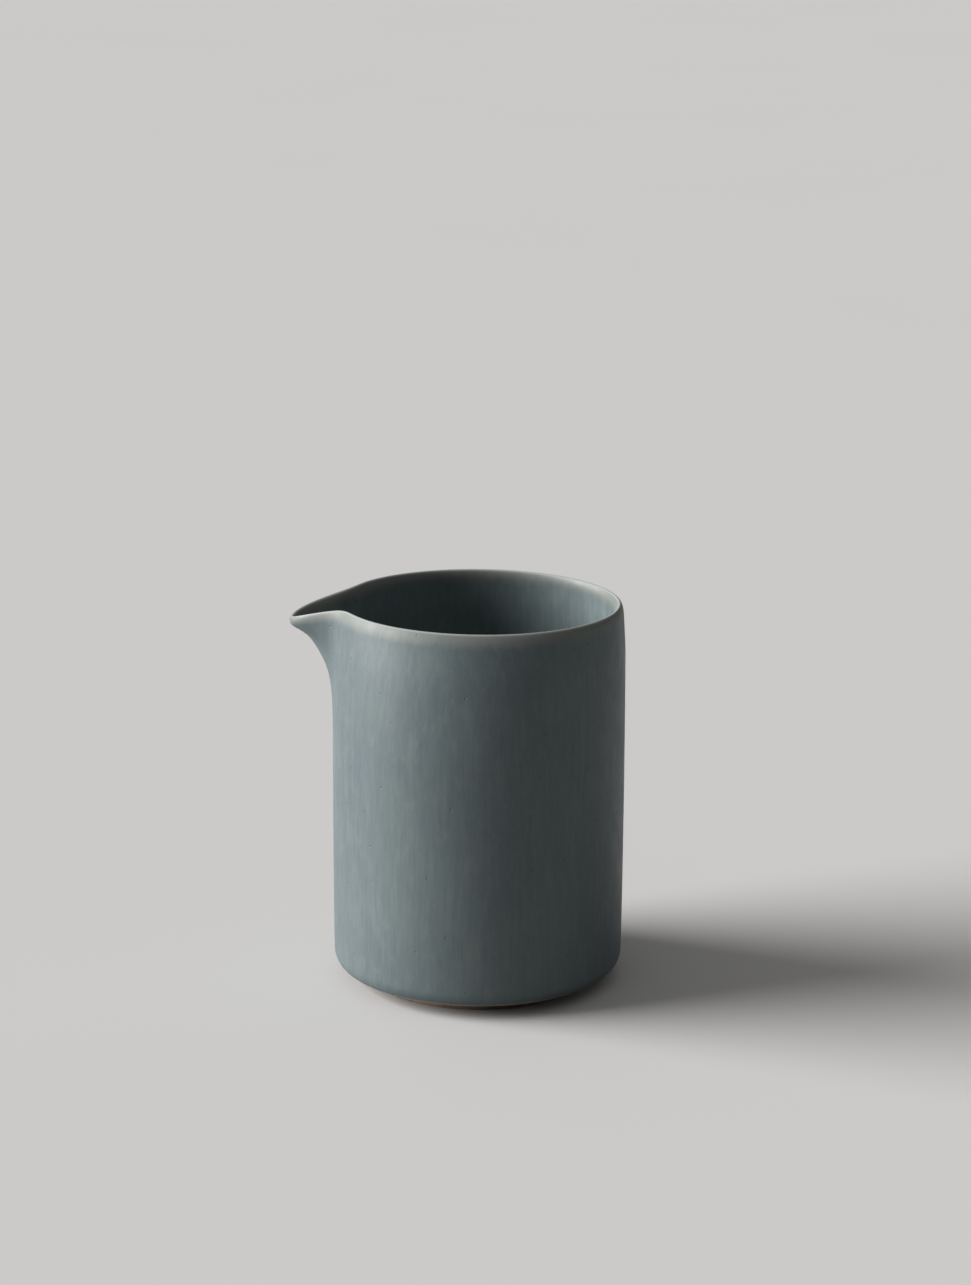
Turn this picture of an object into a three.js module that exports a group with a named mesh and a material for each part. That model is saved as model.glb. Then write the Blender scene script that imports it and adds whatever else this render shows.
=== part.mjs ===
// Small stoneware pitcher with a pulled spout, in millimetres, +Z up.
// It stands on its foot ring at Z = 0, and the spout points along -X.
// The clay body is thrown and trimmed in one piece. Two coats of glaze lie on it:
// one poured through the inside and over the lip, one dipped over the outside.
import * as THREE from 'three';

// Finished body, measured over the glaze
const HEIGHT = 106.5;          // standing plane to the crest of the lip
const BODY_RADIUS = 40;        // outside radius at the fullest height of the wall
const WALL_THICKNESS = 3.4;    // finished wall at mid height
const FLOOR_THICKNESS = 4.2;   // clay and glaze above the hollow of the foot
const WALL_BELLY = 0.3;        // how much the wall draws in at its top and bottom

// Bottom edge and foot ring
const CORNER_WIDTH = 3.6;      // rounding of the bottom edge, measured across
const CORNER_HEIGHT = 4.4;     // the same rounding, measured up the wall
const FLOOR_CORNER = 9;        // inside rounding between floor and wall
const FOOT_INSET = 8;          // from the fullest wall in to the outside of the foot ring
const FOOT_WIDTH = 4.5;        // width of the ring that stands on the table
const FOOT_HEIGHT = 2.4;       // how far the ring lifts the body
const FOOT_HOLLOW = 1.8;       // depth of the hollow turned inside the ring
const FOOT_BEVEL = 0.5;        // small bevel on both edges of the ring

// Lip
const LIP_ROUND_WIDTH = 1.5;   // outside rounding of the lip, measured across
const LIP_ROUND_HEIGHT = 3.6;  // the same rounding, measured down the wall
const LIP_CREST_WIDTH = 0.8;   // inside rounding of the lip, across
const LIP_CREST_HEIGHT = 1.2;  // inside rounding of the lip, down the wall
const LIP_INSET = 0.5;         // how far the shoulder draws in at the back of the rim
const SHOULDER_HEIGHT = 15;    // height over which the wall turns from round to the oval rim
const RIM_SQUEEZE = 0.134;     // share by which the rim is narrower across than along

// Pulled spout
const SPOUT_REACH = 11.4;      // how far the tip stands out from the rim
const SPOUT_HALF_ANGLE = 11;   // half width of the pulled lip, in degrees round the rim
const SPOUT_DEPTH = 9.4;       // height over which the throat swells out of the wall
const SPOUT_FALLOFF = 1.7;     // how quickly the throat dies into the wall
const SPOUT_DROP = 3;          // how far the tip droops below the rim
const SPOUT_DROP_ANGLE = 10;   // half width of the droop, in degrees round the rim
const SPOUT_DROP_DEPTH = 12;   // height over which the droop fades

// Glaze
const GLAZE_THICKNESS = 0.35;  // fired thickness of either coat
const GLAZE_BOND = 0.3;        // space kept between the faces of glaze and clay
const LIP_OVERRUN = 3.4;       // how far the inside glaze runs down the outside of the lip
const COAT_JOINT = 0.1;        // space between the edges of the two coats

// Facets
const SPOUT_STEPS = 20;        // angular steps across the spout
const SPOUT_SPAN = 60;         // degrees round the rim that those steps cover
const ROUND_STEPS = 40;        // angular steps round the rest
const WALL_STEPS = 5;
const SHOULDER_STEPS = 6;
const ROUND_EDGE_STEPS = 3;

const DEGREE = Math.PI / 180;
const SHOULDER_Z = HEIGHT - SHOULDER_HEIGHT;
const CLAY_DEPTH = GLAZE_THICKNESS + GLAZE_BOND;
const FLOOR_Z = FOOT_HOLLOW + FLOOR_THICKNESS;
const FOOT_RADIUS = BODY_RADIUS - FOOT_INSET;

// Angles round the axis, starting and ending at the spout, closer together across it.
function spinAngles() {
  const angles = [];
  const half = SPOUT_SPAN * DEGREE / 2;
  for (let i = 0; i < SPOUT_STEPS; i++) {
    angles.push(Math.PI - half + 2 * half * i / SPOUT_STEPS);
  }
  for (let i = 0; i < ROUND_STEPS; i++) {
    angles.push(Math.PI + half + (2 * Math.PI - 2 * half) * i / ROUND_STEPS);
  }
  return angles;
}

// A value that rises smoothly from 0 at low to 1 at high.
function rise(value, low, high) {
  const t = Math.min(1, Math.max(0, (value - low) / (high - low)));
  return t * t * (3 - 2 * t);
}

// Share of the round radius that the oval rim keeps in a direction.
function ovalShare(angle) {
  const across = 1 - RIM_SQUEEZE;
  return 1 / Math.hypot(Math.cos(angle), Math.sin(angle) / across);
}

// Moves a point of the round pot to its place on the squeezed and pulled one.
function pull(radius, z, angle) {
  const fromSpout = Math.abs(Math.atan2(Math.sin(angle - Math.PI), Math.cos(angle - Math.PI))) / DEGREE;
  const shoulder = Math.pow(Math.max(0, (z - SHOULDER_Z) / SHOULDER_HEIGHT), 2);
  const oval = 1 - Math.min(1, shoulder) * (1 - ovalShare(angle));
  const depth = Math.max(0, HEIGHT - z);
  const throat = Math.exp(-Math.pow(depth / SPOUT_DEPTH, SPOUT_FALLOFF));
  const reach = SPOUT_REACH * throat * Math.exp(-Math.pow(fromSpout / SPOUT_HALF_ANGLE, 2));
  const sag = rise(z, HEIGHT - SPOUT_DROP_DEPTH, HEIGHT);
  const drop = SPOUT_DROP * sag * Math.exp(-Math.pow(fromSpout / SPOUT_DROP_ANGLE, 2));
  const r = radius > 0 ? radius * oval + reach : 0;
  return new THREE.Vector3(r * Math.cos(angle), r * Math.sin(angle), z - drop);
}

// Points of a quarter ellipse from start to end angle, in degrees, ends included.
function arc(centreR, centreZ, width, height, start, end, steps) {
  const points = [];
  for (let i = 0; i <= steps; i++) {
    const a = (start + (end - start) * i / steps) * DEGREE;
    points.push([centreR + width * Math.cos(a), centreZ + height * Math.sin(a)]);
  }
  return points;
}

// Radius of the wall's outside before the lip is rounded, a given depth under the finished face.
function wallRadius(z, depth) {
  const middle = HEIGHT / 2;
  const belly = WALL_BELLY * Math.pow((z - middle) / middle, 2);
  const inset = LIP_INSET * rise(z, SHOULDER_Z, HEIGHT);
  return BODY_RADIUS - belly - inset - depth;
}

// Evenly spaced heights between two levels, without the first.
function heights(low, high, steps) {
  return Array.from({ length: steps }, (_, i) => low + (high - low) * (i + 1) / steps);
}

// Outside profile from the bottom edge up to the crest of the lip, a given depth under the face.
function outsideProfile(depth) {
  const cornerZ = FOOT_HEIGHT + CORNER_HEIGHT;
  const cornerR = wallRadius(cornerZ, depth);
  const width = CORNER_WIDTH - depth;
  const bottom = arc(cornerR - width, cornerZ, width, CORNER_HEIGHT - depth, -90, 0, ROUND_EDGE_STEPS + 1);
  const wall = heights(cornerZ, SHOULDER_Z, WALL_STEPS);
  const overrunZ = HEIGHT - LIP_OVERRUN;
  const shoulder = heights(SHOULDER_Z, overrunZ - COAT_JOINT, SHOULDER_STEPS);
  const onWall = (z) => [wallRadius(z, depth) - lipRounding(z), z];
  const round = arc(
    wallRadius(HEIGHT, 0) - LIP_ROUND_WIDTH, HEIGHT - LIP_ROUND_HEIGHT,
    LIP_ROUND_WIDTH - depth, LIP_ROUND_HEIGHT - depth, 25, 90, ROUND_EDGE_STEPS);
  return { edge: bottom, side: [...wall, ...shoulder].map(onWall), lip: [onWall(overrunZ), ...round] };
}

// How far the lip's outside rounding has drawn the wall in at a height.
function lipRounding(z) {
  const up = Math.max(0, z - (HEIGHT - LIP_ROUND_HEIGHT)) / LIP_ROUND_HEIGHT;
  return LIP_ROUND_WIDTH * (1 - Math.sqrt(1 - up * up));
}

// Inside profile from the crest of the lip down to the middle of the floor.
function insideProfile(depth) {
  const lipR = wallRadius(HEIGHT, 0) - LIP_ROUND_WIDTH;
  const lipInner = lipR - LIP_CREST_WIDTH;
  const lipStartZ = HEIGHT - LIP_CREST_HEIGHT;
  const crest = arc(lipR, lipStartZ, LIP_CREST_WIDTH - depth, LIP_CREST_HEIGHT - depth, 120, 180, 2);
  const floorCornerZ = FLOOR_Z + FLOOR_CORNER;
  const side = [];
  const levels = heights(lipStartZ, SHOULDER_Z, SHOULDER_STEPS - 1);
  levels.push(...heights(SHOULDER_Z, floorCornerZ, WALL_STEPS - 1));
  for (const z of levels) {
    const wallInner = wallRadius(z, 0) - WALL_THICKNESS;
    const blend = rise(z, SHOULDER_Z, lipStartZ);
    side.push([wallInner + (lipInner - wallInner) * blend + depth, z]);
  }
  const cornerR = wallRadius(floorCornerZ, 0) - WALL_THICKNESS - FLOOR_CORNER;
  const corner = arc(cornerR, floorCornerZ, FLOOR_CORNER + depth, FLOOR_CORNER + depth, 0, -90, 4);
  const floor = [[cornerR * 0.5, FLOOR_Z - depth], [0, FLOOR_Z - depth]];
  return { crest, side: [...side, ...corner.slice(1), ...floor] };
}

// Underside of the clay, from the bottom edge in to the middle of the foot's hollow.
function footProfile() {
  const inner = FOOT_RADIUS - FOOT_WIDTH;
  return [
    [FOOT_RADIUS, FOOT_HEIGHT + GLAZE_THICKNESS],
    [FOOT_RADIUS, FOOT_BEVEL],
    [FOOT_RADIUS - FOOT_BEVEL, 0],
    [inner + FOOT_BEVEL, 0],
    [inner, FOOT_BEVEL],
    [inner - FOOT_HOLLOW, FOOT_HOLLOW],
    [inner * 0.5, FOOT_HOLLOW],
    [0, FOOT_HOLLOW],
  ];
}

// Two triangles over four corners, split so that faces lying on each other fold along the same line.
function strip(a, b, c, d, rising) {
  const halves = rising ? [[a, b, c], [a, c, d]] : [[a, b, d], [b, c, d]];
  return halves.filter((corners) => new Set(corners).size === 3).flat();
}

// Spins a closed profile into a body. Ends on the axis become single points;
// a profile that stays off the axis closes on itself.
function spun(profile) {
  const angles = spinAngles();
  const count = angles.length;
  const onAxis = profile.map(([r]) => r === 0);
  const positions = [];
  const first = [];
  profile.forEach(([r, z], row) => {
    first.push(positions.length / 3);
    const ring = onAxis[row] ? [0] : angles;
    for (const angle of ring) {
      positions.push(...pull(r, z, angle).toArray());
    }
  });
  const at = (row, step) => first[row] + (onAxis[row] ? 0 : step % count);
  const rows = profile.length;
  const loops = onAxis.some(Boolean) ? rows - 1 : rows;
  const triangles = [];
  for (let row = 0; row < loops; row++) {
    const next = (row + 1) % rows;
    for (let step = 0; step < count; step++) {
      triangles.push(...strip(
        at(row, step), at(row, step + 1), at(next, step + 1), at(next, step),
        profile[row][1] < profile[next][1]));
    }
  }
  const geometry = new THREE.BufferGeometry();
  geometry.setAttribute('position', new THREE.Float32BufferAttribute(positions, 3));
  geometry.setIndex(triangles);
  geometry.computeVertexNormals();
  return geometry;
}

function clayBody() {
  const outside = outsideProfile(CLAY_DEPTH);
  const inside = insideProfile(CLAY_DEPTH);
  return spun([
    ...footProfile().reverse(),
    ...outside.edge,
    ...outside.side,
    ...outside.lip,
    ...inside.crest,
    ...inside.side,
  ]);
}

// The dipped coat, from just above the foot ring up to the edge of the poured coat.
function outerGlaze() {
  const skin = (profile) => [...profile.edge, ...profile.side];
  const face = skin(outsideProfile(0));
  const back = skin(outsideProfile(GLAZE_THICKNESS));
  return spun([...face, ...back.reverse()]);
}

// The poured coat, from the floor up the wall, over the lip and a little down the outside.
function innerGlaze() {
  const face = { out: outsideProfile(0), in: insideProfile(0) };
  const back = { out: outsideProfile(GLAZE_THICKNESS), in: insideProfile(GLAZE_THICKNESS) };
  const skin = (side) => [...side.out.lip, ...side.in.crest, ...side.in.side];
  return spun([...skin(back).reverse(), ...skin(face)]);
}

function finish(name, geometry, colour, roughness) {
  const material = new THREE.MeshStandardMaterial({ color: colour, roughness, metalness: 0 });
  const mesh = new THREE.Mesh(geometry, material);
  mesh.name = name;
  return mesh;
}

const pitcher = new THREE.Group();
pitcher.add(finish('stoneware_body', clayBody(), 0x6f5a46, 0.9));
pitcher.add(finish('outer_glaze', outerGlaze(), 0x5f7274, 0.42));
pitcher.add(finish('inner_glaze', innerGlaze(), 0x6b7876, 0.38));

// The box round pot and spout is centred on the origin, so the axis stands off by half the overhang.
const spoutTip = pull(wallRadius(HEIGHT, 0) - LIP_ROUND_WIDTH, HEIGHT, Math.PI);
pitcher.position.x = (Math.abs(spoutTip.x) - BODY_RADIUS) / 2;

export default pitcher;
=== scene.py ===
"""A small glazed stoneware pitcher with a pulled spout, on a pale studio floor."""

import math

import bmesh
import bpy
from mathutils import Matrix, Vector


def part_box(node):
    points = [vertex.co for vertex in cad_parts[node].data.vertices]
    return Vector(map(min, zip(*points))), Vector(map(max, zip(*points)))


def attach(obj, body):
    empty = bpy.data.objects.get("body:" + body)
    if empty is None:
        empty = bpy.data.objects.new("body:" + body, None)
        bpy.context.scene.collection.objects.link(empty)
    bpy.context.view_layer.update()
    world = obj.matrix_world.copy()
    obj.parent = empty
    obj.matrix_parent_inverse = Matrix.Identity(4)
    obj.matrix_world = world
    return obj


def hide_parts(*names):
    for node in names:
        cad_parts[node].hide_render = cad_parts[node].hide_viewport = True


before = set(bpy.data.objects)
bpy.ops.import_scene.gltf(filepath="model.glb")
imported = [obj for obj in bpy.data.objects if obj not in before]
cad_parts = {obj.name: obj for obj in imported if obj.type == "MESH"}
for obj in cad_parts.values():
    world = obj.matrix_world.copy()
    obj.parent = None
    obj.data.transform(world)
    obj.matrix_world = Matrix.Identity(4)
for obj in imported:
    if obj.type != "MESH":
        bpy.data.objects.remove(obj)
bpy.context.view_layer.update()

bl_info = {
    "name": "Stoneware Pitcher",
    "version": (1, 0, 0),
    "blender": (4, 5, 0),
    "location": "3D View > Sidebar > Pitcher",
    "description": "Builds a glazed stoneware pitcher and the studio that it stands in",
    "category": "Add Mesh",
}

MM = 0.001

# Height, body and axis, taken from the glazed pieces of the frame
GLAZED_NODES = ("inner_glaze", "outer_glaze")
GLAZE_LOW = [min(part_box(node)[0][i] for node in GLAZED_NODES) for i in range(3)]
GLAZE_HIGH = [max(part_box(node)[1][i] for node in GLAZED_NODES) for i in range(3)]
BODY_RADIUS = (GLAZE_HIGH[1] - GLAZE_LOW[1]) / 2
AXIS_X = GLAZE_HIGH[0] - BODY_RADIUS
RIM_HEIGHT = GLAZE_HIGH[2]

# Small sizes that stay the same on a pitcher of any size
COAT_THICKNESS = 0.28 * MM
CLAY_DEPTH = 0.3 * MM
FOOT_BEVEL = 0.5 * MM
LIP_HOLLOW = 2.0 * MM
EDGE_WAVER = 4.0 * MM
TURNING_GAP = 0.9 * MM

# Fineness of the meshes
SPOUT_SPAN = math.radians(64)
SPOUT_STEPS = 64
ROUND_STEPS = 148
CORNER_STEPS = 10
FLOOR_CORNER_STEPS = 14
FLOOR_STEPS = 8
LIP_STEPS = 18
CREST_STEPS = 8
BEVEL_STEPS = 5
HOLLOW_STEPS = 6
OUTSIDE_STEP = 1.2 * MM
INSIDE_STEP = 1.5 * MM
SHARP_EDGE = math.radians(40)

# Name of the attribute that holds each point's height before the spout was pulled
THROWN_HEIGHT = "thrown_height"

# Picture and studio
PICTURE_WIDTH = 971
PICTURE_HEIGHT = 1285
SENSOR_WIDTH = 36.0
STAGE_RADIUS = 14.0
STAGE_RINGS = 12
STAGE_SECTORS = 96
STAGE_SHADE = 0.97


def size(name, description, default):
    """A length in metres that a user can set."""
    return bpy.props.FloatProperty(
        name=name, description=description, default=default,
        unit="LENGTH", subtype="DISTANCE", precision=5)


def turn(name, description, degrees):
    """An angle that a user can set."""
    return bpy.props.FloatProperty(
        name=name, description=description, default=math.radians(degrees),
        unit="ROTATION", subtype="ANGLE")


def share(name, description, default):
    """A plain number that a user can set."""
    return bpy.props.FloatProperty(name=name, description=description, default=default)


def colour(name, description, default):
    """A colour that a user can set."""
    return bpy.props.FloatVectorProperty(
        name=name, description=description, default=default,
        subtype="COLOR", size=3, min=0, max=1)


class PitcherShape(bpy.types.PropertyGroup):
    """Sizes of the thrown and pulled form, measured over the glaze."""

    height: size("Height", "Standing plane to the crest of the lip", RIM_HEIGHT)
    radius: size("Body radius", "Outside radius at the fullest height", BODY_RADIUS)
    wall: size("Wall", "Thickness of the finished wall", 3.4 * MM)
    floor: size("Floor", "Height of the inside floor over the standing plane", 6.0 * MM)
    belly: size("Belly", "How much the wall draws in at top and bottom", 0.3 * MM)
    corner_width: size("Corner width", "Rounding of the bottom edge, across", 3.6 * MM)
    corner_height: size("Corner height", "Rounding of the bottom edge, up the wall", 4.4 * MM)
    floor_corner: size("Floor corner", "Inside rounding between floor and wall", 9.0 * MM)
    foot_radius: size("Foot radius", "Outside radius of the foot ring", 31.4 * MM)
    foot_width: size("Foot width", "Width of the foot ring", 4.5 * MM)
    foot_height: size("Foot height", "How far the ring lifts the body", 3.2 * MM)
    foot_hollow: size("Foot hollow", "Depth of the hollow inside the ring", 1.8 * MM)
    lip_width: size("Lip rounding width", "Outside rounding of the lip, across", 1.1 * MM)
    lip_height: size("Lip rounding height", "Outside rounding of the lip, down the wall", 3.6 * MM)
    crest_width: size("Crest width", "Inside rounding of the lip, across", 1.3 * MM)
    crest_height: size("Crest height", "Inside rounding of the lip, down the wall", 2.8 * MM)
    lip_inset: size("Lip inset", "How far the shoulder draws in at the back of the rim", 0.5 * MM)
    shoulder: size("Shoulder", "Height over which the shoulder draws in", 15.0 * MM)
    squeeze_depth: size("Squeeze depth", "Height over which round turns to oval", 36.0 * MM)
    overrun: size("Overrun", "How far the inside glaze runs down the outside", 3.4 * MM)
    squeeze: share("Rim squeeze", "Share by which the rim is narrower across than along", 0.126)
    reach: size("Spout reach", "How far the tip stands out from the rim", 13.2 * MM)
    half_angle: turn("Spout half angle", "Half width of the pulled lip", 12.3)
    pinch: share("Pinch", "How sharply the lip is pinched beside the spout", 2.4)
    throat: size("Throat depth", "Height over which the throat swells out of the wall", 13.6 * MM)
    falloff: share("Throat falloff", "How quickly the throat dies into the wall", 1.9)
    droop: size("Droop", "How far the tip hangs below the rim", 5.6 * MM)
    droop_angle: turn("Droop half angle", "Half width of the droop", 12.0)
    droop_depth: size("Droop depth", "Height over which the droop fades", 12.0 * MM)


class PitcherFinish(bpy.types.PropertyGroup):
    """Colours of clay and glaze, with a painted highlight in the pale crest line."""

    glaze: colour("Glaze", "Blue-green grey of the glaze", (0.118, 0.150, 0.153))
    glaze_deep: colour("Deep glaze", "Cooler glaze in streaks and clouds", (0.086, 0.114, 0.124))
    glaze_pale: colour("Pale glaze", "Thin glaze in streaks and mottling", (0.156, 0.188, 0.184))
    glaze_olive: colour("Olive glaze", "Warm grey of the doubled glaze", (0.205, 0.208, 0.180))
    # Pale line on the crest, partly thin glaze and partly a painted highlight, and the pale line just above
    # the foot
    pale_edges_and_highlight: colour("Crest", "Thin glaze on the crest and bottom edge", (0.34, 0.36, 0.34))
    clay: colour("Clay", "Bare fired clay of the foot", (0.300, 0.190, 0.115))
    clay_dark: colour("Dark clay", "Iron-dark flecks and stains", (0.120, 0.075, 0.048))


class PitcherStudio(bpy.types.PropertyGroup):
    """Camera, floor and lamps."""

    spout_turn: turn("Spout turn", "How far the spout is turned towards the camera", 5.5)
    camera_pitch: turn("Camera pitch", "How far the camera looks down", 16.1)
    camera_roll: turn("Camera roll", "Turn of the picture about its middle", -0.33)
    focal: size("Focal length", "Focal length in the 36 mm wide frame", 0.1504)
    distance: size("Distance", "Depth from the camera to the middle of the foot", 1.1305)
    foot_u: share("Foot across", "Middle of the foot, in pixels of 971 across", 477.6)
    foot_v: share("Foot down", "Middle of the foot, in pixels of 1285 down", 969.2)
    floor: colour("Floor", "Pale warm grey of floor and backdrop", (0.60, 0.59, 0.58))
    floor_bounce: colour("Floor bounce", "Tone thrown back on the pitcher", (0.20, 0.20, 0.20))
    key_power: share("Key strength", "Strength of the large soft lamp on the left", 6.5)
    key_height: turn("Key height", "Angle of the soft lamp above the floor", 22.0)
    key_spread: turn("Key spread", "How wide the soft lamp looks from the pitcher", 44.0)
    sky_low: share("Low sky", "Strength of the even light from the sides", 0.04)
    sky_high: share("High sky", "Strength of the even light from overhead", 0.34)


def smooth_rise(value, low, high):
    """0 below low, 1 above high and a smooth rise between."""
    t = min(1.0, max(0.0, (value - low) / (high - low)))
    return t * t * (3.0 - 2.0 * t)


def pull(shape, radius, z, angle):
    """Moves a point of the round pot to its place on the squeezed and pulled one."""
    off = abs(math.atan2(math.sin(angle - math.pi), math.cos(angle - math.pi)))
    start = shape.height - shape.squeeze_depth
    weight = min(1.0, max(0.0, (z - start) / shape.squeeze_depth) ** 2)
    oval = 1.0 / math.hypot(math.cos(angle), math.sin(angle) / (1.0 - shape.squeeze))
    depth = max(0.0, shape.height - z)
    throat = math.exp(-((depth / shape.throat) ** shape.falloff))
    reach = shape.reach * throat * math.exp(-((off / shape.half_angle) ** shape.pinch))
    sag = smooth_rise(z, shape.height - shape.droop_depth, shape.height)
    droop = shape.droop * sag * math.exp(-((off / shape.droop_angle) ** 2))
    r = radius * (1.0 - weight * (1.0 - oval)) + reach if radius > 0 else 0.0
    return Vector((AXIS_X + r * math.cos(angle), r * math.sin(angle), z - droop))


def arc(centre, radii, start, end, steps):
    """Points of an elliptic arc between two angles in degrees, ends included."""
    points = []
    for i in range(steps + 1):
        a = math.radians(start + (end - start) * i / steps)
        points.append((centre[0] + radii[0] * math.cos(a), centre[1] + radii[1] * math.sin(a)))
    return points


def wall_radius(shape, z):
    """Radius of the outside wall before the lip is rounded."""
    middle = shape.height / 2
    belly = shape.belly * ((z - middle) / middle) ** 2
    inset = shape.lip_inset * smooth_rise(z, shape.height - shape.shoulder, shape.height)
    return shape.radius - belly - inset


def levels(low, high, step):
    """Heights from low to high, without low, about a step apart."""
    count = max(1, round(abs(high - low) / step))
    return [low + (high - low) * (i + 1) / count for i in range(count)]


def outside_points(shape, top):
    """Outside profile from the bottom edge up to a height on the wall or the lip's rounding."""
    corner_z = shape.foot_height + shape.corner_height
    corner_r = wall_radius(shape, corner_z) - shape.corner_width
    corner = (shape.corner_width, shape.corner_height)
    points = arc((corner_r, corner_z), corner, -90, 0, CORNER_STEPS)
    start = shape.height - shape.lip_height
    for z in levels(corner_z, top, OUTSIDE_STEP):
        up = max(0.0, z - start) / shape.lip_height
        points.append((wall_radius(shape, z) - shape.lip_width * (1 - math.sqrt(1 - up * up)), z))
    return points


def lip_points(shape):
    """Lip from the edge of the poured coat over the crest to the inside wall."""
    start = math.asin((shape.lip_height - shape.overrun) / shape.lip_height)
    outer = []
    for i in range(LIP_STEPS + 1):
        a = start + (math.pi / 2 - start) * i / LIP_STEPS
        z = shape.height - shape.lip_height * (1 - math.sin(a))
        outer.append((wall_radius(shape, z) - shape.lip_width * (1 - math.cos(a)), z))
    crest = (outer[-1][0], shape.height - shape.crest_height)
    return outer + arc(crest, (shape.crest_width, shape.crest_height), 90, 180, CREST_STEPS)[1:]


def inside_points(shape):
    """Inside profile from under the crest down to the middle of the floor."""
    lip_inner = wall_radius(shape, shape.height) - shape.lip_width - shape.crest_width
    top = shape.height - shape.crest_height
    start = shape.height - shape.shoulder
    corner_z = shape.floor + shape.floor_corner
    points = []
    for z in levels(top, corner_z, INSIDE_STEP):
        inner = wall_radius(shape, z) - shape.wall
        blend = smooth_rise(z, start, top)
        points.append((inner + (lip_inner - inner) * blend, z))
    corner_r = wall_radius(shape, corner_z) - shape.wall - shape.floor_corner
    corner = (shape.floor_corner, shape.floor_corner)
    points += arc((corner_r, corner_z), corner, 0, -90, FLOOR_CORNER_STEPS)[1:]
    points += [(corner_r * (1 - i / FLOOR_STEPS), shape.floor) for i in range(1, FLOOR_STEPS)]
    points.append((0.0, shape.floor))
    return points


def foot_points(shape):
    """Underside of the clay from the middle of the hollow over the foot ring to the glaze."""
    bevel = FOOT_BEVEL
    outer = shape.foot_radius
    inner = outer - shape.foot_width
    under = shape.foot_height + CLAY_DEPTH
    points = [(inner * i / HOLLOW_STEPS, shape.foot_hollow) for i in range(HOLLOW_STEPS)]
    points += arc((inner - bevel, bevel), (bevel, shape.foot_hollow - bevel), 90, 0, BEVEL_STEPS)
    points += arc((inner + bevel, bevel), (bevel, bevel), 180, 270, BEVEL_STEPS)[1:]
    points += arc((outer - bevel, bevel), (bevel, bevel), -90, 0, BEVEL_STEPS)
    points += arc((outer + bevel, under - bevel), (bevel, bevel), 180, 90, BEVEL_STEPS)
    return points


def clay_points(shape):
    """Whole profile of the clay: the foot, and the wall and floor a little under the glaze."""
    under = shape.foot_height + CLAY_DEPTH
    face = outside_points(shape, shape.height - shape.lip_height)
    outside = [(r - CLAY_DEPTH, max(z, under)) for r, z in face]
    top = (outside[-1][0] - CLAY_DEPTH, outside[-1][1] + CLAY_DEPTH)
    below = top[1] - LIP_HOLLOW
    inside = [(r + CLAY_DEPTH, z - CLAY_DEPTH) for r, z in inside_points(shape) if z < below]
    inside[-1] = (0.0, inside[-1][1])
    return foot_points(shape) + outside + [top] + inside


def coat(face, thickness):
    """Profile of a coat: its back, a thickness beneath the face, and then its face."""
    back = []
    for i, point in enumerate(face):
        ahead = Vector(face[min(i + 1, len(face) - 1)])
        behind = Vector(face[max(i - 1, 0)])
        along = (ahead - behind).normalized()
        inward = Vector((-along.y, along.x))
        r = 0.0 if point[0] <= 0 else point[0] + inward.x * thickness
        back.append((r, point[1] + inward.y * thickness))
    return list(reversed(back)) + list(face)


def spin_angles():
    """Angles round the axis, closer together across the spout."""
    half = SPOUT_SPAN / 2
    spout = [math.pi - half + 2 * half * i / SPOUT_STEPS for i in range(SPOUT_STEPS)]
    rest = 2 * math.pi - 2 * half
    return spout + [math.pi + half + rest * i / ROUND_STEPS for i in range(ROUND_STEPS)]


def spun_mesh(name, profile, shape):
    """Spins a profile into a closed, smooth mesh.

    Points on the axis become one, and a profile that stays off the axis joins its end to its start.
    """
    angles = spin_angles()
    mesh = bmesh.new()
    thrown = mesh.verts.layers.float.new(THROWN_HEIGHT)
    rings = []
    for r, z in profile:
        if r <= 0:
            ring = [mesh.verts.new(pull(shape, 0.0, z, 0.0))] * len(angles)
        else:
            ring = [mesh.verts.new(pull(shape, r, z, a)) for a in angles]
        for point in ring:
            point[thrown] = z
        rings.append(ring)
    if profile[0][0] > 0:
        rings.append(rings[0])
    for lower, upper in zip(rings, rings[1:]):
        for i in range(len(angles)):
            j = (i + 1) % len(angles)
            corners = list(dict.fromkeys((lower[i], lower[j], upper[j], upper[i])))
            if len(corners) > 2:
                mesh.faces.new(corners).smooth = True
    data = bpy.data.meshes.new(name)
    mesh.to_mesh(data)
    mesh.free()
    data.set_sharp_from_angle(angle=SHARP_EDGE)
    piece = bpy.data.objects.new(name, data)
    bpy.context.scene.collection.objects.link(piece)
    return piece


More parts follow.
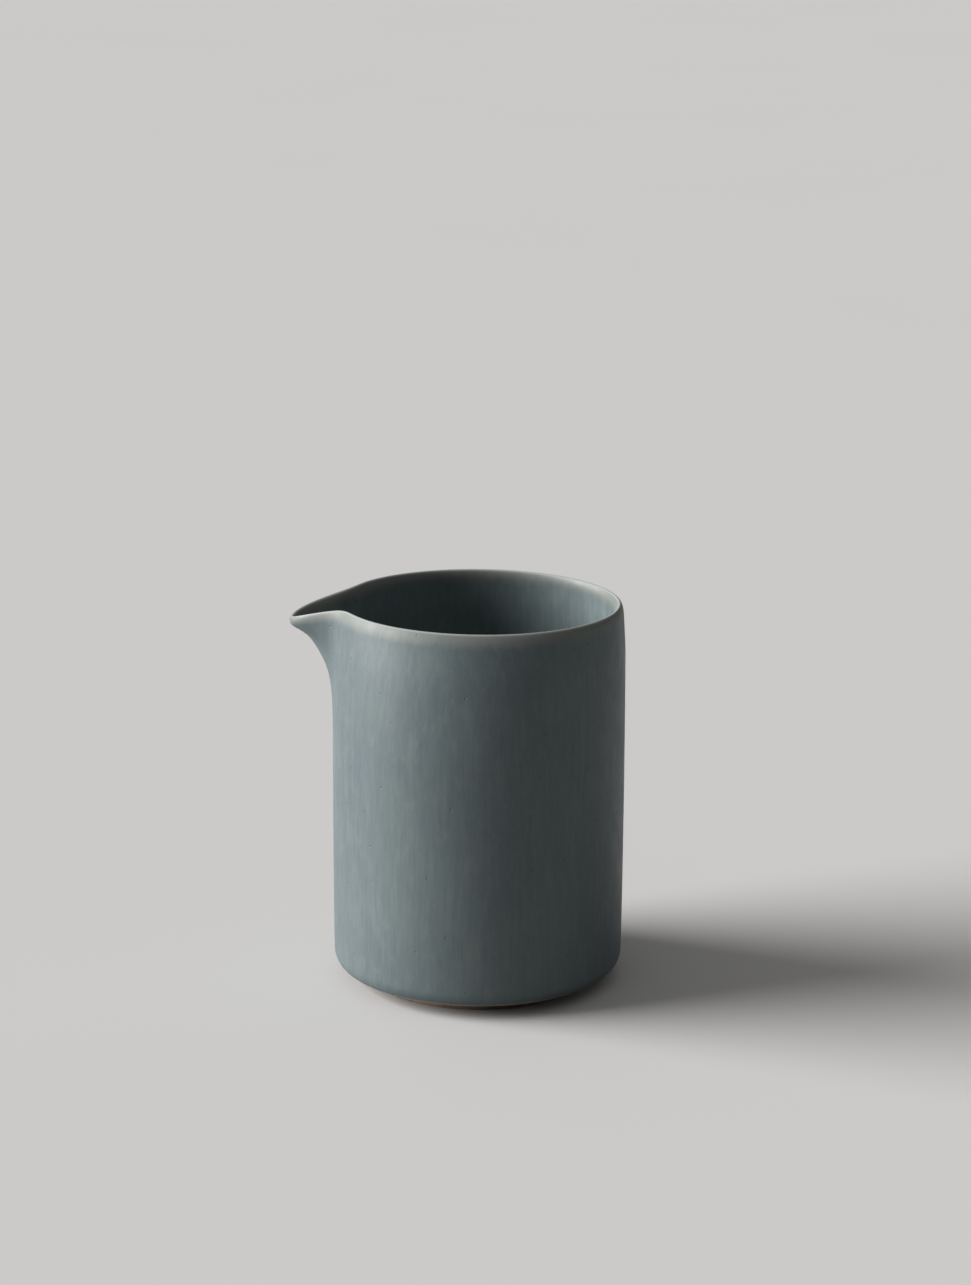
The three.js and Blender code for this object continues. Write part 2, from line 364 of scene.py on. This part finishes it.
class Nodes:
    """Short way to lay out a material's nodes."""

    def __init__(self, name):
        self.material = bpy.data.materials.new(name)
        self.material.use_nodes = True
        self.tree = self.material.node_tree
        self.shader = self.tree.nodes["Principled BSDF"]
        self.place = self.add("ShaderNodeTexCoord").outputs["Object"]

    def add(self, kind, inputs=None, **settings):
        """Adds a node, sets it up and links or fills its inputs."""
        node = self.tree.nodes.new(kind)
        for key, value in settings.items():
            setattr(node, key, value)
        for key, value in (inputs or {}).items():
            self.feed(node.inputs[key], value)
        return node

    def feed(self, socket, value):
        """Links a socket to another, or sets its value."""
        if isinstance(value, bpy.types.NodeSocket):
            self.tree.links.new(value, socket)
        else:
            socket.default_value = value

    def math(self, operation, a, b=0.0, clamp=False):
        """One step of arithmetic."""
        node = self.add("ShaderNodeMath", {0: a, 1: b}, operation=operation, use_clamp=clamp)
        return node.outputs[0]

    def noise(self, scale, detail, roughness=0.55, upright=1.0, shift=(0.0, 0.0, 0.0)):
        """Noise with so many features to a metre; an upright below 1 draws it out up the wall."""
        stretch = (1.0, 1.0, upright)
        mapping = self.add("ShaderNodeMapping", {"Vector": self.place, "Location": shift, "Scale": stretch})
        inputs = {"Vector": mapping.outputs[0], "Scale": scale, "Detail": detail, "Roughness": roughness}
        return self.add("ShaderNodeTexNoise", inputs).outputs["Fac"]

    def band(self, value, start, full, low=0.0, high=1.0):
        """Goes smoothly from low to high while a value runs from start to full."""
        inputs = {"Value": value, "From Min": start, "From Max": full, "To Min": low, "To Max": high}
        return self.add("ShaderNodeMapRange", inputs, interpolation_type="SMOOTHSTEP").outputs[0]

    def mix(self, factor, a, b):
        """Mix of two colours."""
        node = self.add("ShaderNodeMix", data_type="RGBA")
        self.feed(node.inputs[0], factor)
        self.feed(node.inputs[6], a if isinstance(a, bpy.types.NodeSocket) else (*a, 1.0))
        self.feed(node.inputs[7], b if isinstance(b, bpy.types.NodeSocket) else (*b, 1.0))
        return node.outputs[2]

    def tint(self, body, tone, pattern, start, full, most):
        """Mixes a tone into a body colour, at most so much, while a pattern runs from start to full."""
        return self.mix(self.band(pattern, start, full, high=most), body, tone)

    def bump(self, heights):
        """Bump from pairs of height and distance, one on the other."""
        normal = None
        for height, distance in heights:
            inputs = {"Height": height, "Distance": distance, "Strength": 1.0}
            node = self.add("ShaderNodeBump", inputs)
            if normal is not None:
                self.feed(node.inputs["Normal"], normal)
            normal = node.outputs[0]
        self.feed(self.shader.inputs["Normal"], normal)


def glaze_material(name, shape, finish):
    """Satin glaze: finely streaked, paler where it thins, olive where the coats overlap on the lip, and a
    pale crest line that is partly a painted highlight.
    """
    n = Nodes(name)
    height = n.add("ShaderNodeAttribute", attribute_name=THROWN_HEIGHT).outputs["Fac"]
    streaks = n.noise(scale=760.0, detail=4.0, roughness=0.6, upright=0.09)
    fine = n.noise(scale=2300.0, detail=2.0, roughness=0.6, upright=0.16, shift=(3.0, 1.0, 0.0))
    mottle = n.noise(scale=260.0, detail=4.0, roughness=0.6, upright=0.6, shift=(1.0, 4.0, 0.0))
    clouds = n.noise(scale=34.0, detail=4.0, upright=0.7, shift=(0.0, 7.0, 0.0))
    grain = n.noise(scale=3200.0, detail=2.0, roughness=0.5)
    waver = n.noise(scale=150.0, detail=3.0, roughness=0.6, upright=0.3, shift=(5.0, 0.0, 2.0))

    # Streaks, mottling and clouds of the whole coat
    body = n.tint(finish.glaze, finish.glaze_deep, clouds, start=0.36, full=0.64, most=0.50)
    body = n.tint(body, finish.glaze_deep, streaks, start=0.46, full=0.68, most=0.42)
    body = n.tint(body, finish.glaze_pale, streaks, start=0.48, full=0.30, most=0.34)
    body = n.tint(body, finish.glaze_pale, mottle, start=0.50, full=0.68, most=0.30)
    body = n.tint(body, finish.glaze_pale, fine, start=0.52, full=0.74, most=0.26)

    # Bands at the lip and at the bottom edge, where the wavering ones have an uneven edge; the pale crest
    # line is partly a painted highlight
    sway = n.math("MULTIPLY", n.math("SUBTRACT", waver, 0.5), EDGE_WAVER)
    wavering = n.math("ADD", height, sway)
    joint = shape.height - shape.overrun
    crest = shape.height
    bottom = shape.foot_height
    body = n.tint(
        body, finish.glaze_olive, wavering, start=joint - 0.9 * MM, full=joint + 1.9 * MM, most=0.60)
    # Pale line along the crest: partly thin glaze breaking over the edge, partly a painted highlight
    body = n.tint(
        body, finish.pale_edges_and_highlight, height, start=crest - 0.50 * MM, full=crest - 0.08 * MM, most=0.80)
    # The coat grows darker towards the bottom edge
    body = n.tint(
        body, finish.glaze_deep, wavering, start=bottom + 3.2 * MM, full=bottom + 0.8 * MM, most=0.50)
    # A pale line just above the foot
    body = n.tint(
        body, finish.pale_edges_and_highlight, height, start=bottom + 1.15 * MM, full=bottom + 0.85 * MM, most=0.75)

    # A few pits that show the dark clay
    cells = n.add("ShaderNodeTexVoronoi", {"Vector": n.place, "Scale": 210.0}, feature="F1")
    pits = n.band(cells.outputs["Distance"], start=0.09, full=0.05)
    body = n.mix(n.math("MULTIPLY", pits, 0.45), body, finish.clay_dark)
    n.feed(n.shader.inputs["Base Color"], body)

    # Satin sheen that changes with the mottling and the grain
    sheen = n.band(mottle, start=0.3, full=0.7, low=0.47, high=0.57)
    uneven = n.math("MULTIPLY", n.math("SUBTRACT", grain, 0.5), 0.12)
    n.feed(n.shader.inputs["Roughness"], n.math("ADD", sheen, uneven))
    n.shader.inputs["IOR"].default_value = 1.5
    n.bump([
        (clouds, 0.25 * MM),
        (mottle, 0.04 * MM),
        (streaks, 0.025 * MM),
        (grain, 0.010 * MM),
        (n.math("SUBTRACT", 1.0, pits), 0.06 * MM),
    ])
    return n.material


def clay_material(finish):
    """Bare fired clay: matt, sandy, with iron flecks and turning lines round the axis."""
    n = Nodes("bare fired clay")
    centre = n.add("ShaderNodeMapping", {"Vector": n.place, "Location": (-AXIS_X, 0.0, 0.0)}).outputs[0]
    flat = n.add("ShaderNodeVectorMath", {0: centre, 1: (1.0, 1.0, 0.0)}, operation="MULTIPLY").outputs[0]
    radius = n.add("ShaderNodeVectorMath", {0: flat}, operation="LENGTH").outputs["Value"]
    lines = n.math("SINE", n.math("MULTIPLY", radius, 2 * math.pi / TURNING_GAP))
    sand = n.noise(scale=1400.0, detail=4.0, roughness=0.65)
    stain = n.noise(scale=90.0, detail=4.0)
    flecks = n.noise(scale=900.0, detail=1.0, roughness=0.5, shift=(2.0, 2.0, 2.0))
    body = n.tint(finish.clay, finish.clay_dark, stain, start=0.40, full=0.66, most=0.7)
    body = n.tint(body, finish.clay_dark, flecks, start=0.66, full=0.74, most=0.7)
    n.feed(n.shader.inputs["Base Color"], body)
    n.feed(n.shader.inputs["Roughness"], n.band(sand, start=0.3, full=0.7, low=0.78, high=0.95))
    n.bump([(lines, 0.02 * MM), (sand, 0.08 * MM)])
    return n.material


def floor_material(studio):
    """Matt floor that looks pale, and throws a darker tone back on the pitcher."""
    n = Nodes("floor")
    tone = n.noise(scale=6.0, detail=2.0, roughness=0.5)
    pale = tuple(studio.floor)
    shaded = tuple(STAGE_SHADE * c for c in pale)
    path = n.add("ShaderNodeLightPath").outputs
    seen = n.math("ADD", path["Is Camera Ray"], path["Is Glossy Ray"], clamp=True)
    seen = n.math("ADD", seen, path["Is Transmission Ray"], clamp=True)
    shown = n.mix(tone, pale, shaded)
    n.feed(n.shader.inputs["Base Color"], n.mix(seen, tuple(studio.floor_bounce), shown))
    n.shader.inputs["Roughness"].default_value = 0.9
    n.shader.inputs["Specular IOR Level"].default_value = 0.1
    return n.material


def seat(piece, node, material):
    """Gives a piece its material and puts it in place of a node."""
    piece.data.materials.append(material)
    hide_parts(node)
    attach(piece, "root")


def make_camera(studio):
    """A long lens looking down at the pitcher, with the foot at its place in the picture."""
    data = bpy.data.cameras.new("camera")
    data.sensor_fit = "HORIZONTAL"
    data.sensor_width = SENSOR_WIDTH
    data.lens = studio.focal / MM
    camera = bpy.data.objects.new("camera", data)
    bpy.context.scene.collection.objects.link(camera)
    turned = Matrix.Rotation(studio.spout_turn, 3, "Z")
    tilt = Matrix.Rotation(math.pi / 2 - studio.camera_pitch, 3, "X")
    roll = Matrix.Rotation(-studio.camera_roll, 3, "Z")
    rotation = turned @ tilt @ roll
    pixels = data.lens / SENSOR_WIDTH * PICTURE_WIDTH
    across = (studio.foot_u - PICTURE_WIDTH / 2) / pixels
    down = (studio.foot_v - PICTURE_HEIGHT / 2) / pixels
    camera.matrix_world = rotation.to_4x4()
    ray = rotation @ Vector((across, -down, -1.0))
    camera.location = Vector((AXIS_X, 0.0, 0.0)) - ray * studio.distance
    bpy.context.scene.camera = camera


def make_floor(studio):
    """A wide round floor that runs on past the edges of the picture."""
    mesh = bmesh.new()
    middle = mesh.verts.new((0.0, 0.0, 0.0))
    turns = [2 * math.pi * i / STAGE_SECTORS for i in range(STAGE_SECTORS)]
    rows = []
    for ring in range(1, STAGE_RINGS + 1):
        r = STAGE_RADIUS * (ring / STAGE_RINGS) ** 2
        rows.append([mesh.verts.new((r * math.cos(t), r * math.sin(t), 0.0)) for t in turns])
    for i in range(STAGE_SECTORS):
        j = (i + 1) % STAGE_SECTORS
        mesh.faces.new((middle, rows[0][i], rows[0][j]))
        for near, far in zip(rows, rows[1:]):
            mesh.faces.new((near[i], far[i], far[j], near[j]))
    data = bpy.data.meshes.new("studio_floor")
    mesh.to_mesh(data)
    mesh.free()
    data.materials.append(floor_material(studio))
    floor = bpy.data.objects.new("studio_floor", data)
    bpy.context.scene.collection.objects.link(floor)


def make_key_lamp(studio):
    """A large soft lamp far off, low on the left of the picture."""
    data = bpy.data.lights.new("key", "SUN")
    data.energy = studio.key_power
    data.angle = studio.key_spread
    lamp = bpy.data.objects.new("key", data)
    bpy.context.scene.collection.objects.link(lamp)
    flat = math.cos(studio.key_height)
    left = (-flat * math.cos(studio.spout_turn), -flat * math.sin(studio.spout_turn))
    side = Vector((*left, math.sin(studio.key_height)))
    lamp.location = side
    lamp.rotation_mode = "QUATERNION"
    lamp.rotation_quaternion = side.to_track_quat("Z", "Y")


def make_sky(studio):
    """An even light, brighter overhead than at the sides; the camera sees the floor's grey there."""
    world = bpy.data.worlds.new("studio sky")
    bpy.context.scene.world = world
    world.use_nodes = True
    tree = world.node_tree
    background = tree.nodes["Background"]
    direction = tree.nodes.new("ShaderNodeTexCoord").outputs["Generated"]
    parts = tree.nodes.new("ShaderNodeSeparateXYZ")
    tree.links.new(direction, parts.inputs[0])
    ramp = tree.nodes.new("ShaderNodeMapRange")
    tree.links.new(parts.outputs["Z"], ramp.inputs["Value"])
    ramp.inputs["To Min"].default_value = studio.sky_low
    ramp.inputs["To Max"].default_value = studio.sky_high
    path = tree.nodes.new("ShaderNodeLightPath")
    seen = tree.nodes.new("ShaderNodeMix")
    tree.links.new(path.outputs["Is Camera Ray"], seen.inputs[0])
    tree.links.new(ramp.outputs[0], seen.inputs[2])
    seen.inputs[3].default_value = studio.floor[1]
    tree.links.new(seen.outputs[0], background.inputs["Strength"])
    background.inputs["Color"].default_value = (1.0, 1.0, 1.0, 1.0)


class PITCHER_OT_studio(bpy.types.Operator):
    """Sets up the camera, the floor and the soft light"""

    bl_idname = "pitcher.studio"
    bl_label = "Studio"

    def execute(self, context):
        studio = context.scene.pitcher_studio
        make_camera(studio)
        make_floor(studio)
        make_key_lamp(studio)
        make_sky(studio)
        context.scene.view_settings.view_transform = "Standard"
        return {"FINISHED"}


class PITCHER_OT_clay_body(bpy.types.Operator):
    """Makes the bare clay foot and the clay under the glaze"""

    bl_idname = "pitcher.clay_body"
    bl_label = "Clay Body"

    def execute(self, context):
        shape = context.scene.pitcher_shape
        piece = spun_mesh("clay_body", clay_points(shape), shape)
        material = clay_material(context.scene.pitcher_finish)
        seat(piece, "stoneware_body", material)
        return {"FINISHED"}


class PITCHER_OT_outer_coat(bpy.types.Operator):
    """Makes the dipped coat of glaze on the outside"""

    bl_idname = "pitcher.outer_coat"
    bl_label = "Outer Coat"

    def execute(self, context):
        shape = context.scene.pitcher_shape
        face = outside_points(shape, shape.height - shape.overrun)
        piece = spun_mesh("outer_glaze_coat", coat(face, COAT_THICKNESS), shape)
        material = glaze_material("dipped glaze", shape, context.scene.pitcher_finish)
        seat(piece, "outer_glaze", material)
        return {"FINISHED"}


class PITCHER_OT_inner_coat(bpy.types.Operator):
    """Makes the poured coat of glaze on the inside and over the lip"""

    bl_idname = "pitcher.inner_coat"
    bl_label = "Inner Coat"

    def execute(self, context):
        shape = context.scene.pitcher_shape
        face = lip_points(shape) + inside_points(shape)
        piece = spun_mesh("inner_glaze_coat", coat(face, COAT_THICKNESS), shape)
        material = glaze_material("poured glaze", shape, context.scene.pitcher_finish)
        seat(piece, "inner_glaze", material)
        return {"FINISHED"}


class PITCHER_PT_tools(bpy.types.Panel):
    """Lists the pitcher's steps and sizes"""

    bl_idname = "PITCHER_PT_tools"
    bl_label = "Pitcher"
    bl_space_type = "VIEW_3D"
    bl_region_type = "UI"
    bl_category = "Pitcher"

    def draw(self, context):
        for step in STEPS:
            self.layout.operator(step.bl_idname)
        for group in GROUPS:
            settings = getattr(context.scene, group)
            box = self.layout.box()
            for name in settings.bl_rna.properties.keys():
                if name not in ("rna_type", "name"):
                    box.prop(settings, name)


STEPS = (PITCHER_OT_studio, PITCHER_OT_clay_body, PITCHER_OT_outer_coat, PITCHER_OT_inner_coat)
GROUPS = {
    "pitcher_shape": PitcherShape,
    "pitcher_finish": PitcherFinish,
    "pitcher_studio": PitcherStudio,
}
CLASSES = (*GROUPS.values(), *STEPS, PITCHER_PT_tools)


def register():
    for cls in CLASSES:
        bpy.utils.register_class(cls)
    for name, group in GROUPS.items():
        setattr(bpy.types.Scene, name, bpy.props.PointerProperty(type=group))


def unregister():
    for name in GROUPS:
        delattr(bpy.types.Scene, name)
    for cls in reversed(CLASSES):
        bpy.utils.unregister_class(cls)


def main():
    register()
    bpy.ops.pitcher.studio()
    bpy.ops.pitcher.clay_body()
    bpy.ops.pitcher.outer_coat()
    bpy.ops.pitcher.inner_coat()


if __name__ == "__main__":
    main()
